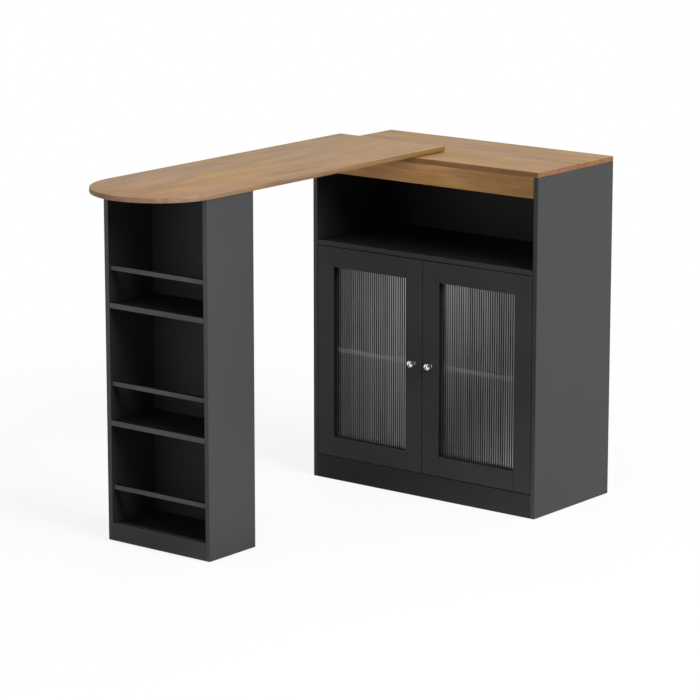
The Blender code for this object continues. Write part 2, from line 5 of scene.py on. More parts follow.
import bmesh
import bpy
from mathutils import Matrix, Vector


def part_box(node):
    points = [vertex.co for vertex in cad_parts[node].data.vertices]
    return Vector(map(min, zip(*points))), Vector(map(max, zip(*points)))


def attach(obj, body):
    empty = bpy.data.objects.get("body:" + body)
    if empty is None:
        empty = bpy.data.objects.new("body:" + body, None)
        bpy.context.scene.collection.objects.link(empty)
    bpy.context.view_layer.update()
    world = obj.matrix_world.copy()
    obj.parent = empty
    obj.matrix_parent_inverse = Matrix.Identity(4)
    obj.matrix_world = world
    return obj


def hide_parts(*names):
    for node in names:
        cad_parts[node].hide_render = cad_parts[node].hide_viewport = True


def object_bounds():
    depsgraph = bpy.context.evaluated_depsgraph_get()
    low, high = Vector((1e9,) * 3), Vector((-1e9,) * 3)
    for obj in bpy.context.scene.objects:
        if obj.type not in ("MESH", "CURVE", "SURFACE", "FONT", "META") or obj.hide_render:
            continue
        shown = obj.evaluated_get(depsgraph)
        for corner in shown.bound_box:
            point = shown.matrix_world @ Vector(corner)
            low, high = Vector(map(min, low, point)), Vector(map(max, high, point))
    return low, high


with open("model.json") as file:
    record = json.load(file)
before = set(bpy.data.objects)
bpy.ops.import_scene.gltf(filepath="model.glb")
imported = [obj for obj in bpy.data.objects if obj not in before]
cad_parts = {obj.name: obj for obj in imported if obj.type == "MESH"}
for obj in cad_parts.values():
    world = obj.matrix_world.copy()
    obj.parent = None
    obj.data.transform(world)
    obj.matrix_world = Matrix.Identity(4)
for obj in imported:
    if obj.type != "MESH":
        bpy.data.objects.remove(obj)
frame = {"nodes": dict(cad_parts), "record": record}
cad_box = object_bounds()
solids = frame["nodes"]
record = frame["record"]
body_of_solid = {solid: body for body, held in record["behaviour"]["bodies"].items() for solid in held}
slot_of_solid = {part["node"]: part["material_slot"] for part in record["subparts"]}
scene = bpy.context.scene
UP, DOWN = Vector((0, 0, 1)), Vector((0, 0, -1))
RIGHT, REAR = Vector((1, 0, 0)), Vector((0, 1, 0))
WHITE = (1.0, 1.0, 1.0)

# Panes
GLASS_PLAIN = 0.003             # thickness of a pane without its flutes
FLUTE_PITCH = 0.008
FLUTE_RISE = 0.0006
FLUTE_FACETS = 12               # flats across each flute
PANE_SHARP = 30.0               # degrees, past which an edge of a pane stays sharp
GLASS_COVER = (0.08, 0.98)      # how far clear glass and a full streak hide what is behind them
CREST_POWER = (0.8, 4.0)        # how crisp the streaks are at the left and right of a pane
STREAK_STRENGTH = (0.52, 1.15)  # of the painted highlight streaks, at the left and right of a pane
STREAK_WEAKEST = 0.6            # the faintest streak's share of the strongest
RIGHT_LIFT = 0.12               # more painted highlight in the right pane, less at the left of the left one
RIGHT_RISE = (-0.20, 0.37)      # painted highlight added at the foot and the head of the right pane

# Boards and round solids
OAK_RUN = 0.41      # from the table's middle to where an oak edge's tone, partly painted light and shade, stops changing
ROUND_SHARP = 32.0  # degrees, past which an edge of a round solid stays sharp
MERGE = 0.000002    # points nearer than this are one

# Screw heads and caps, each with its radius and height
BEAD_SCREW = (0.0028, 0.0011)
KNOB_SCREW = (0.0045, 0.0022)
CUP_SCREW = (0.0034, 0.0016)
ARM_SCREW = (0.0036, 0.0016)
CAP = (0.0080, 0.0008)
HEAD_SIDES = 24
HEAD_TOP = 0.72      # radius of a head's top, as a share of its foot's
SLOT_LENGTH = 1.1    # share of the head's radius
SLOT_WIDTH = 0.22    # share of the head's radius
SLOT_DEPTH = 1.1     # the cutter's share of the head's height

# Where the screws and caps are
BEAD_MIDDLE = 0.0065              # from a bead's outer edge to its screws
BEAD_CORNER = 0.0195              # from a bead's foot and head to the screws of its long sides
BEAD_SCREW_STEP = 0.125
CUP_SCREW_OUT = 0.0215            # from a hinge's middle to the screws in its cup's wings
PLATE_FACE = 0.0025               # from the cabinet's side to the screws in a mounting plate
PLATE_SCREW_OUT = 0.0150          # from a hinge's middle to those screws
PLATE_SCREW_BACK = 0.0430         # from the door's back to those screws
ARM_SCREWS_BACK = (0.028, 0.055)  # from the door's back to the screws in a hinge's arm
CAP_INSET = 0.034                 # from a board's end to its connector caps
DIVIDER_CAP_INSET = 0.070         # from the divider's front and rear edges to its caps
SHELF_CAP_INSET = 0.045           # from a tower shelf's front and rear edges to its caps
SIDE_CAP_INSETS = (0.045, 0.060)  # from a tower side's front and rear edges to its caps

# Shelf pins and their holes, with collars and rims given as radius and length
PIN_RADIUS = 0.0025
PIN_LENGTH = 0.009
PIN_COLLAR = (0.0040, 0.0012)
PIN_GAP = 0.0003     # between the shelf and its pins
PIN_INSET = 0.037    # from the shelf's front and rear edges to its pins
PIN_STEP = 0.032     # between the holes
PIN_ROWS = (-4, -3, -2, -1, 1, 2, 3, 4)  # holes below and above the shelf
HOLE_FACE = 0.00012  # a hole is a dark disc of painted shade this thick on the side's face
HOLE_RIM = (0.0028, 0.00006)
PEG_SIDES = 20
PEG_TOP = 0.9        # radius of a peg's end, as a share of its foot's

# Studio; a lamp has azimuth and elevation in degrees, then distance and width
SKY_LEVEL = 0.45
KEY_LAMP = (82.0, 33.0, 11.0, 5.0)
KEY_LEVEL = 1.15
FILL_LAMP = (-5.0, 14.0, 9.0, 4.0)
FILL_LEVEL = 0.10
FLOOR_HALF = 30.0             # from the floor's middle to its edges
FLOOR_DROP = 0.0004           # from the object's foot down to the floor
FLOOR_BOUNCE = 0.85           # share of the floor's own colour in light that bounces off it
FLOOR_LEAST = 0.20            # the same in all other rays that carry light
FLOOR_GLOW = 0.86             # share of plain white in the floor near the object
GLOW_SPAN = (1.0, 3.0)        # from the middle to where the floor starts and ends turning plain white
FLOOR_MIRRORED = (0.50, 1.0)  # share of that white in mirrored rays, far away and on the key lamp's side: painted light
MIRROR_SPAN = (0.4, 2.6)      # from the middle to where the far share of that painted light starts and is full
KEY_SIDE = (-0.30, 0.30)      # along X, where the key side's painted light starts and is full
FLAG_AZIMUTH = 66.0
FLAG_AWAY = 4.0
FLAG_SIZE = (5.0, 8.0)

# Camera, with angles in degrees and lens and sensor in millimetres
CAMERA_PLACE = (5.7276, -7.2437, 2.5615)
CAMERA_AZIMUTH = 38.256
CAMERA_ELEVATION = 12.540
CAMERA_LENS = 170.66
CAMERA_SENSOR = 36.0
CAMERA_REACH = 100.0


# Node helpers

def node(tree, kind, sockets=None, **settings):
    """A node with its settings, and its sockets set to values or linked to other sockets."""
    made = tree.nodes.new(kind)
    for name, value in settings.items():
        setattr(made, name, value)
    for name, value in (sockets or {}).items():
        if isinstance(value, bpy.types.NodeSocket):
            tree.links.new(value, made.inputs[name])
        else:
            made.inputs[name].default_value = value
    return made


def calc(tree, operation, first, second=0.0):
    """A number worked out from one or two others."""
    return node(tree, "ShaderNodeMath", {0: first, 1: second}, operation=operation).outputs[0]


def fade(tree, factor, low, high, start=0.0, end=1.0):
    """A number that runs from low to high as the factor runs from start to end."""
    return node(tree, "ShaderNodeMapRange", {0: factor, 1: start, 2: end, 3: low, 4: high}).outputs[0]


def axes(tree, vector):
    """A vector's parts, by the names of the axes."""
    return node(tree, "ShaderNodeSeparateXYZ", {0: vector}).outputs


def grey(level):
    """A colour without hue."""
    return (level, level, level)


def tint(tree, factor, first, second, blend="MIX"):
    """A colour mixed from two."""
    mixed = node(tree, "ShaderNodeMix", {0: factor, 6: first, 7: second}, data_type="RGBA", blend_type=blend)
    return mixed.outputs[2]


def times(tree, colour, by):
    """A colour multiplied by another."""
    return tint(tree, 1.0, colour, by, "MULTIPLY")


def ramp(tree, factor, *stops):
    """A colour or a grey level read from a row of (place, colour) stops."""
    made = node(tree, "ShaderNodeValToRGB", {"Fac": factor})
    row = made.color_ramp.elements
    for _ in stops[2:]:
        row.new(0.5)
    for stop, (place, colour) in zip(row, stops):
        stop.position = place
        stop.color = (*colour, 1.0)
    return made.outputs["Color"]


def grain(tree, place, cells, detail=3.0, roughness=0.5):
    """Noise with so many cells to the metre along each axis."""
    scaled = node(tree, "ShaderNodeMapping", {"Vector": place, "Scale": cells}).outputs[0]
    made = node(tree, "ShaderNodeTexNoise",
                {"Vector": scaled, "Scale": 1.0, "Detail": detail, "Roughness": roughness})
    return made.outputs["Fac"]


def finish(name, **fixed):
    """A material to build on, with the sockets that stay the same all over."""
    made = bpy.data.materials.new(name)
    made.use_nodes = True
    tree = made.node_tree
    shader = tree.nodes["Principled BSDF"]
    for socket, value in fixed.items():
        shader.inputs[socket.replace("_", " ")].default_value = value
    place = node(tree, "ShaderNodeTexCoord").outputs["Object"]
    return made, tree, shader, place


def wire(tree, shader, **varied):
    """Link the values that vary over the surface to the shader's sockets."""
    for socket, value in varied.items():
        tree.links.new(value, shader.inputs[socket.replace("_", " ")])


def relief(tree, shader, height, depth, strength=1.0):
    """Fine surface relief of a given depth in metres."""
    bump = node(tree, "ShaderNodeBump", {"Height": height, "Distance": depth, "Strength": strength})
    wire(tree, shader, Normal=bump.outputs[0])


# Finishes

def oak_laminate(name, turn, near_tone_and_light, far_tone_and_light):
    """Oak-grain laminate with its grain along X, or along Y after a quarter turn.

    Its edges get a tone that runs from near to far along the grain: partly the edges' own colour, partly
    painted light and shade.
    """
    made, tree, shader, place = finish(name, Specular_IOR_Level=0.40)
    along = node(tree, "ShaderNodeMapping", {"Vector": place, "Rotation": (0.0, 0.0, turn)}).outputs[0]
    patch = grain(tree, along, (2.6, 7.0, 7.0), 2.0, 0.5)
    cloud = grain(tree, along, (5.0, 26.0, 26.0), 3.0, 0.55)
    streak = grain(tree, along, (3.0, 95.0, 95.0), 4.0, 0.6)
    figure = grain(tree, along, (8.0, 170.0, 170.0), 2.0, 0.5)
    fibre = grain(tree, along, (14.0, 700.0, 700.0), 2.0, 0.6)
    pore = grain(tree, along, (45.0, 1300.0, 1300.0), 1.0, 0.5)
    wood = ramp(tree, patch, (0.36, (0.322, 0.178, 0.082)), (0.50, (0.332, 0.184, 0.063)),
                (0.64, (0.350, 0.194, 0.048)))
    for pattern, low, high in ((cloud, (0.81, 0.79, 0.76), (1.16, 1.17, 1.20)),
                               (streak, (0.82, 0.80, 0.77), (1.14, 1.14, 1.15)),
                               (fibre, (0.88, 0.87, 0.85), (1.08, 1.08, 1.08))):
        wood = times(tree, wood, ramp(tree, pattern, (0.30, low), (0.70, high)))
    dark_lines = ramp(tree, figure, (0.62, WHITE), (0.72, (0.80, 0.76, 0.70)))
    flecks = ramp(tree, pore, (0.62, WHITE), (0.70, (0.74, 0.70, 0.65)))
    for marks in (dark_lines, flecks):
        wood = times(tree, wood, marks)
    # Faces that face neither up nor down get the edge tone: partly their own colour, partly painted light
    # and shade.
    normal = node(tree, "ShaderNodeNewGeometry").outputs["Normal"]
    edge = calc(tree, "LESS_THAN", calc(tree, "ABSOLUTE", axes(tree, normal)["Z"]), 0.5)
    run = fade(tree, axes(tree, along)["X"], 0.0, 1.0, -OAK_RUN, OAK_RUN)
    tone = tint(tree, run, (*near_tone_and_light, 1.0), (*far_tone_and_light, 1.0))
    wood = tint(tree, edge, wood, times(tree, wood, tone))
    wire(tree, shader, Base_Color=wood, Roughness=fade(tree, fibre, 0.44, 0.62))
    pits = calc(tree, "GREATER_THAN", pore, 0.66)
    relief(tree, shader, calc(tree, "SUBTRACT", calc(tree, "MULTIPLY", fibre, 0.5), pits), 0.00012, 0.5)
    return made


def black_melamine(name, shine, painted_face_light=1.0, painted_edge_shade=1.0):
    """Satin black melamine with a fine pearl relief.

    Front and rear faces are lightened by one factor, which is painted light, and the other faces are
    darkened by another, which is painted shade; darkened ones are duller too.
    """
    made, tree, shader, place = finish(name, Specular_IOR_Level=shine)
    cloud = grain(tree, place, (5.0, 5.0, 5.0), 3.0)
    speck = grain(tree, place, (1100.0, 1100.0, 1100.0), 2.0, 0.6)
    black = ramp(tree, cloud, (0.3, (0.0095, 0.0096, 0.0100)), (0.7, (0.0130, 0.0131, 0.0135)))
    skin = times(tree, black, ramp(tree, speck, (0.35, grey(0.85)), (0.65, grey(1.14))))
    normal = node(tree, "ShaderNodeTexCoord").outputs["Normal"]
    face = calc(tree, "GREATER_THAN", calc(tree, "ABSOLUTE", axes(tree, normal)["Y"]), 0.5)
    # Painted light on the front and rear faces, painted shade on the others.
    lift = tint(tree, face, (*grey(painted_edge_shade), 1.0), (*grey(painted_face_light), 1.0))
    satin = fade(tree, cloud, 0.42, 0.52)
    dull = fade(tree, face, max(0.0, 0.5 * (1.0 - painted_edge_shade)), 0.0)
    wire(tree, shader, Base_Color=times(tree, skin, lift), Roughness=calc(tree, "ADD", satin, dull))
    relief(tree, shader, speck, 0.00005, 0.6)
    return made


def clear_glass(left_pane, right_pane):
    """Fluted glass: clear, with a painted highlight on its front in line with each flute, a streak that
    mirrors light.

    The painted streaks are soft and weaker at a pane's left and crisp and stronger at its right; they are
    stronger in the right pane, and there towards its head.
    """
    made, tree, shader, place = finish("fluted_clear_glass", Transmission_Weight=0.94, IOR=1.5,
                                       Specular_IOR_Level=0.3)
    spot = axes(tree, place)
    apart = right_pane[0].x - left_pane[0].x
    width = left_pane[1].x - left_pane[0].x
    # From 0 at the left pane's left edge to 1 at the right pane's, and from 0 to 1 across each pane
    doors = calc(tree, "DIVIDE", calc(tree, "SUBTRACT", spot["X"], left_pane[0].x), apart)
    across = calc(tree, "MULTIPLY", calc(tree, "FRACT", doors), apart / width)
    phase = calc(tree, "MULTIPLY", spot["X"], math.pi / FLUTE_PITCH)
    crest = calc(tree, "ABSOLUTE", calc(tree, "SINE", phase))
    ridge = calc(tree, "POWER", crest, fade(tree, across, *CREST_POWER))
    chance = grain(tree, place, (0.3 / FLUTE_PITCH, 0.0, 0.0), 3.0, 0.5)
    in_right = calc(tree, "GREATER_THAN", doors, (width / apart + 1.0) / 2)
    rise = fade(tree, spot["Z"], *RIGHT_RISE, left_pane[0].z, left_pane[1].z)
    strength = fade(tree, across, *STREAK_STRENGTH)
    for more in (fade(tree, doors, -RIGHT_LIFT, RIGHT_LIFT), calc(tree, "MULTIPLY", in_right, rise)):
        strength = calc(tree, "ADD", strength, more)
    front = calc(tree, "LESS_THAN", spot["Y"], left_pane[0].y + GLASS_PLAIN / 3)
    streak = fade(tree, chance, STREAK_WEAKEST, 1.0, 0.28, 0.72)
    for factor in (strength, ridge, front):
        streak = calc(tree, "MULTIPLY", streak, factor)
    smear = grain(tree, place, (9.0, 9.0, 3.0), 3.0)
    # Painted highlights: along each crest the glass is lighter, metallic and less see-through.
    wire(tree, shader, Base_Color=ramp(tree, streak, (0.0, (0.80, 0.81, 0.82)), (1.0, (0.95, 0.965, 0.99))),
         Metallic=fade(tree, streak, 0.0, 1.0), Alpha=fade(tree, streak, *GLASS_COVER),
         Roughness=fade(tree, smear, 0.28, 0.34))
    return made


def polished_chrome():
    """Bright chrome with faint finger marks."""
    made, tree, shader, place = finish("knob_chrome", Metallic=1.0)
    marks = grain(tree, place, (160.0, 160.0, 160.0), 4.0, 0.6)
    wire(tree, shader, Base_Color=ramp(tree, marks, (0.3, (0.84, 0.845, 0.85)), (0.7, (0.91, 0.91, 0.915))),
         Roughness=fade(tree, marks, 0.02, 0.08))
    return made


def plated_steel():
    """Zinc-plated pressed steel."""
    made, tree, shader, place = finish("hinge_steel", Metallic=1.0)
    drawn = grain(tree, place, (700.0, 90.0, 1400.0), 3.0, 0.6)
    patch = grain(tree, place, (60.0, 60.0, 60.0), 3.0)
    wire(tree, shader, Base_Color=ramp(tree, patch, (0.3, (0.42, 0.425, 0.43)), (0.7, (0.58, 0.585, 0.59))),
         Roughness=fade(tree, drawn, 0.22, 0.42))
    relief(tree, shader, drawn, 0.00004, 0.4)
    return made


def moulded_nylon(name, dark, light):
    """Moulded plastic with a fine spark-eroded skin."""
    made, tree, shader, place = finish(name)
    skin = grain(tree, place, (1500.0, 1500.0, 1500.0), 2.0)
    worn = grain(tree, place, (70.0, 70.0, 70.0), 4.0)
    wire(tree, shader, Base_Color=ramp(tree, worn, (0.35, dark), (0.7, light)),
         Roughness=fade(tree, worn, 0.38, 0.58))
    relief(tree, shader, skin, 0.00004, 0.5)
    return made


# The cabinet's oak edges are darker, and darker towards the right; the bar's are darker at its rear and less
# orange at its front. Partly their own colour, partly painted shade and painted light.
oak_across = oak_laminate("oak_laminate_cabinet", 0.0, (0.75, 0.66, 0.60), (0.57, 0.47, 0.42))
oak_along = oak_laminate("oak_laminate_bar", math.pi / 2, (0.56, 0.54, 0.54), (0.70, 0.76, 1.00))
# Painted light: the apron's front is much lighter at its left end, where the bar's shadow falls, and darker
# at its right.
oak_apron_painted_light = oak_laminate("oak_laminate_apron_painted_light", 0.0, (1.75, 1.72, 2.20), (0.74, 0.66, 0.55))
melamine = black_melamine("black_melamine_pearl", 0.65)
tower_melamine = black_melamine("black_melamine_tower", 0.85)
# Doors and divider: painted light on their front and rear faces, and painted shade on their other faces,
# which darkens the gaps between the doors.
door_melamine_painted_light_and_shade = black_melamine("black_melamine_door", 0.22, 2.6, 0.2)
matt_melamine = black_melamine("black_melamine_matt", 0.33)
# Tower shelves, rails and base: painted light on their front and rear edges, and painted shade on their tops
# and other faces.
shelf_melamine_painted_light_and_shade = black_melamine("black_melamine_shelf_painted_light_and_shade", 0.12, 6.3, 0.4)
# The loose shelf: strong painted light on its front and rear edges.
inner_melamine_painted_light = black_melamine("black_melamine_inner_shelf_painted_light", 0.30, 11.0)
glass = clear_glass(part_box("left_door_glass"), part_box("right_door_glass"))
chrome = polished_chrome()
steel = plated_steel()
nylon = moulded_nylon("caster_nylon", grey(0.016), (0.032, 0.032, 0.031))
cap_plastic = moulded_nylon("cap_plastic", grey(0.020), grey(0.034))
# Near-black discs of painted shade where the drilled holes are.
hole_painted_shade = moulded_nylon("drilled_hole_painted_shade", grey(0.004), grey(0.009))

finish_of_slot = {"oak_laminate": oak_across, "black_melamine": melamine, "fluted_glass": glass,
                  "polished_chrome": chrome, "zinc_steel": steel, "black_nylon": nylon}
own_finish = {"bar_top": oak_along, "cabinet_apron": oak_apron_painted_light, "cabinet_inner_shelf": inner_melamine_painted_light,
              "cabinet_back": matt_melamine, "tower_back": matt_melamine, "cabinet_plinth": matt_melamine,
              "cabinet_rear_plinth": matt_melamine, "cabinet_divider": door_melamine_painted_light_and_shade,
              "tower_base": shelf_melamine_painted_light_and_shade}


def finish_for(solid):
    """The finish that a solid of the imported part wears."""
    if solid.startswith(("tower_shelf", "tower_rail")):
        return shelf_melamine_painted_light_and_shade
    if solid.startswith("tower_side"):
        return tower_melamine
    if slot_of_solid[solid] == "black_melamine" and "_door_" in solid:
        return door_melamine_painted_light_and_shade
    return own_finish.get(solid, finish_of_slot[slot_of_solid[solid]])


for solid, thing in solids.items():
    for holder in thing.material_slots:
        holder.material = finish_for(solid)


# Making of pieces

def settle(piece, body, slot, *stands_for):
    """Set a finished piece on its body; the slot it would take its finish from is not used."""
    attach(piece, body)
    if stands_for:
        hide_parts(*stands_for)
    return piece


def shown(name, data):
    """An object in the scene for a mesh, a lamp or a camera."""
    thing = bpy.data.objects.new(name, data)
    scene.collection.objects.link(thing)
    return thing


def soften(mesh, angle):
    """Smooth shading with the edges over an angle left sharp."""
    mesh.polygons.foreach_set("use_smooth", [True] * len(mesh.polygons))
    mesh.set_sharp_from_angle(angle=math.radians(angle))


def smooth_copy(solid):
    """A round solid's copy with joined faces and smooth shading, in the solid's place."""
    mesh = bpy.data.meshes.new(solid)
    bm = bmesh.new()
    bm.from_mesh(solids[solid].data)
    bmesh.ops.remove_doubles(bm, verts=bm.verts, dist=MERGE)
    bm.to_mesh(mesh)
    bm.free()
    if "custom_normal" in mesh.attributes:
        mesh.attributes.remove(mesh.attributes["custom_normal"])
    mesh.materials.clear()
    mesh.materials.append(finish_for(solid))
    soften(mesh, ROUND_SHARP)
    return settle(shown(f"{solid}_smooth", mesh), body_of_solid[solid], slot_of_solid[solid], solid)


def tree_of(name, *inputs):
    """An empty geometry tree with named inputs and one geometry output."""
    tree = bpy.data.node_groups.new(name, "GeometryNodeTree")
    for label, kind in inputs:
        tree.interface.new_socket(label, in_out="INPUT", socket_type=f"NodeSocket{kind}")
    tree.interface.new_socket("Geometry", in_out="OUTPUT", socket_type="NodeSocketGeometry")
    return tree, tree.nodes.new("NodeGroupInput").outputs


def close_tree(tree, shape, finish_socket):
    """End a tree in real geometry with one finish."""
    real = node(tree, "GeometryNodeRealizeInstances", {0: shape})
    dressed = node(tree, "GeometryNodeSetMaterial", {"Geometry": real.outputs[0], "Material": finish_socket})
    node(tree, "NodeGroupOutput", {0: dressed.outputs[0]})
    return tree


def grown(name, tree, source, **values):
    """A plain piece from what a geometry tree makes of a source mesh and its named values."""
    holder = shown(f"{name}_source", source)
    change = holder.modifiers.new("grow", "NODES")
    change.node_group = tree
    for item in tree.interface.items_tree:
        if item.item_type == "SOCKET" and item.in_out == "INPUT" and item.name in values:
            change[item.identifier] = values[item.name]
    seen = holder.evaluated_get(bpy.context.evaluated_depsgraph_get())
    mesh = bpy.data.meshes.new_from_object(seen)
    holder.modifiers.remove(change)
    bpy.data.objects.remove(holder)
    return shown(name, mesh)


def pane_tree():
    """A pane, flat in front, whose back rises and falls in round flutes."""
    tree, given = tree_of("fluted_pane", ("Size", "Vector"), ("Middle", "Vector"), ("Columns", "Int"),
                          ("Pitch", "Float"), ("Rise", "Float"), ("Finish", "Material"))
    slab = node(tree, "GeometryNodeMeshCube", {"Size": given["Size"], "Vertices X": given["Columns"]})
    spot = axes(tree, node(tree, "GeometryNodeInputPosition").outputs[0])
    place = calc(tree, "ADD", spot["X"], axes(tree, given["Middle"])["X"])
    phase = calc(tree, "MULTIPLY", calc(tree, "DIVIDE", place, given["Pitch"]), math.pi)
    wave = calc(tree, "ABSOLUTE", calc(tree, "SINE", phase))
    lift = node(tree, "ShaderNodeCombineXYZ", {"Y": calc(tree, "MULTIPLY", wave, given["Rise"])})
    back = calc(tree, "GREATER_THAN", spot["Y"], 0.0)
    fluted = node(tree, "GeometryNodeSetPosition",
                  {"Geometry": slab.outputs["Mesh"], "Selection": back, "Offset": lift.outputs[0]})
    placed = node(tree, "GeometryNodeTransform",
                  {"Geometry": fluted.outputs[0], "Translation": given["Middle"]})
    return close_tree(tree, placed.outputs[0], given["Finish"])


def on_spots(tree, given, shape, twist):
    """A shape set on every spot, turned to face the way the spot says."""
    facing = node(tree, "GeometryNodeInputNamedAttribute", {"Name": "facing"}, data_type="FLOAT_VECTOR")
    turned = node(tree, "FunctionNodeAlignRotationToVector", {"Vector": facing.outputs[0]}, axis="Z")
    spun = node(tree, "FunctionNodeAxisAngleToRotation", {"Axis": UP, "Angle": twist})
    both = node(tree, "FunctionNodeRotateRotation", {0: turned.outputs[0], 1: spun.outputs[0]},
                rotation_space="LOCAL")
    set_out = node(tree, "GeometryNodeInstanceOnPoints",
                   {"Points": given["Geometry"], "Instance": shape, "Rotation": both.outputs[0]})
    return set_out.outputs[0]


def head_tree():
    """Round fastener heads with a cross slot, each turned its own way."""
    tree, given = tree_of("fastener_heads", ("Geometry", "Geometry"), ("Radius", "Float"),
                          ("Height", "Float"), ("Slot Width", "Float"), ("Seed", "Int"),
                          ("Finish", "Material"))
    top = calc(tree, "MULTIPLY", given["Radius"], HEAD_TOP)
    rim = node(tree, "GeometryNodeMeshCone", {"Vertices": HEAD_SIDES, "Radius Top": top,
                                              "Radius Bottom": given["Radius"], "Depth": given["Height"]})
    slot_length = calc(tree, "MULTIPLY", given["Radius"], SLOT_LENGTH)
    slot_depth = calc(tree, "MULTIPLY", given["Height"], SLOT_DEPTH)
    raised = node(tree, "ShaderNodeCombineXYZ", {"Z": given["Height"]}).outputs[0]
    carved = node(tree, "GeometryNodeMeshBoolean", {"Mesh 1": rim.outputs["Mesh"]}, operation="DIFFERENCE")
    for quarter in (0.0, math.pi / 2):
        size = node(tree, "ShaderNodeCombineXYZ",
                    {"X": slot_length, "Y": given["Slot Width"], "Z": slot_depth})
        cutter = node(tree, "GeometryNodeMeshCube", {"Size": size.outputs[0]})
        turned = node(tree, "GeometryNodeTransform", {"Geometry": cutter.outputs["Mesh"],
                                                      "Translation": raised, "Rotation": (0, 0, quarter)})
        tree.links.new(turned.outputs[0], carved.inputs["Mesh 2"])
    chance = node(tree, "FunctionNodeRandomValue", {2: 0.0, 3: math.pi, "Seed": given["Seed"]},
                  data_type="FLOAT")
    return close_tree(tree, on_spots(tree, given, carved.outputs[0], chance.outputs[1]), given["Finish"])


def peg_tree():
    """Round pegs with a collar at the foot."""
    tree, given = tree_of("collared_pegs", ("Geometry", "Geometry"), ("Radius", "Float"),
                          ("Length", "Float"), ("Collar Radius", "Float"), ("Collar Length", "Float"),
                          ("Finish", "Material"))
    joined = node(tree, "GeometryNodeJoinGeometry")
    for radius, length in (("Radius", "Length"), ("Collar Radius", "Collar Length")):
        top = calc(tree, "MULTIPLY", given[radius], PEG_TOP)
        rod = node(tree, "GeometryNodeMeshCone", {"Vertices": PEG_SIDES, "Radius Top": top,
                                                  "Radius Bottom": given[radius], "Depth": given[length]})
        tree.links.new(rod.outputs["Mesh"], joined.inputs[0])
    return close_tree(tree, on_spots(tree, given, joined.outputs[0], 0.0), given["Finish"])


def spots(name, places):
    """A mesh of bare points, each with the way that it faces."""
    mesh = bpy.data.meshes.new(name)
    bm = bmesh.new()
    for place, _ in places:
        bm.verts.new(place)
    bm.to_mesh(mesh)
    bm.free()
    facing = mesh.attributes.new("facing", "FLOAT_VECTOR", "POINT")
    for item, (_, way) in zip(facing.data, places):
        item.vector = way
    return mesh


panes, heads, pegs = pane_tree(), head_tree(), peg_tree()


def screws(name, body, places, head, worn=steel, slot="zinc_steel"):
    """Cross-slot screws or caps on a body, whose heads have one radius and height."""
    radius, height = head
    piece = grown(name, heads, spots(name, places), Radius=radius, Height=height, Finish=worn,
                  Seed=len(places), **{"Slot Width": radius * SLOT_WIDTH})
    return settle(piece, body, slot)


def pins(name, places, length, collar, worn, slot):
    """Shelf pins, or discs of painted shade for their holes, on the cabinet, with collars of one radius and
    length.
    """
    piece = grown(name, pegs, spots(name, places), Radius=PIN_RADIUS, Length=length, Finish=worn,
                  **{"Collar Radius": collar[0], "Collar Length": collar[1]})
    return settle(piece, "cabinet", slot)


# Doors

def fluted_pane(side):
    """A door's pane, with rounder flutes than its solid has."""
    low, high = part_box(f"{side}_door_glass")
    width = high.x - low.x
    middle = (low + high) / 2
    middle.y = low.y + GLASS_PLAIN / 2
    columns = int(width / FLUTE_PITCH * FLUTE_FACETS / 2) * 2 + 1
    pane = grown(f"{side}_door_pane", panes, bpy.data.meshes.new("pane"), Middle=middle, Columns=columns,
                 Size=Vector((width, GLASS_PLAIN, high.z - low.z)), Pitch=FLUTE_PITCH, Rise=FLUTE_RISE,
                 Finish=glass)
    soften(pane.data, PANE_SHARP)
    settle(pane, f"{side}_door", "fluted_glass", f"{side}_door_glass")


def bead_screws(side):
    """Screws up the long sides of a door's glass bead, and two each in its foot and head."""
    low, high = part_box(f"{side}_door_glass_bead")
    rows = int((high.z - low.z) / BEAD_SCREW_STEP)
    places = []
    for row in range(rows + 1):
        z = low.z + BEAD_CORNER + (high.z - low.z - BEAD_CORNER * 2) * row / rows
        places += [(Vector((x, high.y, z)), REAR) for x in (low.x + BEAD_MIDDLE, high.x - BEAD_MIDDLE)]
    for share in (1 / 3, 2 / 3):
        x = low.x + (high.x - low.x) * share
        places += [(Vector((x, high.y, z)), REAR) for z in (low.z + BEAD_MIDDLE, high.z - BEAD_MIDDLE)]
    screws(f"{side}_bead_screws", f"{side}_door", places, BEAD_SCREW)


def knob_screw(side, door_back):
    """The screw that holds a door's knob, in the door's back."""
    low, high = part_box(f"{side}_door_knob")
    middle = (low + high) / 2
    middle.y = door_back
    screws(f"{side}_knob_screw", f"{side}_door", [(middle, REAR)], KNOB_SCREW)


def hinge_screws(side, inwards, door_back):
    """Screws in the cups' wings of a door's hinges, and in their mounting plates and arms."""
    cup_places, arm_places = [], []
    for number in (1, 2):
        low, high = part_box(f"{side}_hinge_{number}_cup")
        x = (low.x + high.x) / 2
        level = (low.z + high.z) / 2
        cup_places += [(Vector((x, high.y, level + end * CUP_SCREW_OUT)), REAR) for end in (-1, 1)]
        low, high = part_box(f"{side}_hinge_{number}_arm")
        wall, web = (low.x, high.x) if inwards.x > 0 else (high.x, low.x)
        plate = wall + PLATE_FACE * inwards.x
        level = (low.z + high.z) / 2
        y = door_back + PLATE_SCREW_BACK
        arm_places += [(Vector((plate, y, level + end * PLATE_SCREW_OUT)), inwards) for end in (-1, 1)]
        arm_places += [(Vector((web, door_back + back, level)), inwards) for back in ARM_SCREWS_BACK]
    screws(f"{side}_cup_screws", f"{side}_door", cup_places, CUP_SCREW)
    screws(f"{side}_arm_screws", "cabinet", arm_places, ARM_SCREW)


# Cabinet and tower

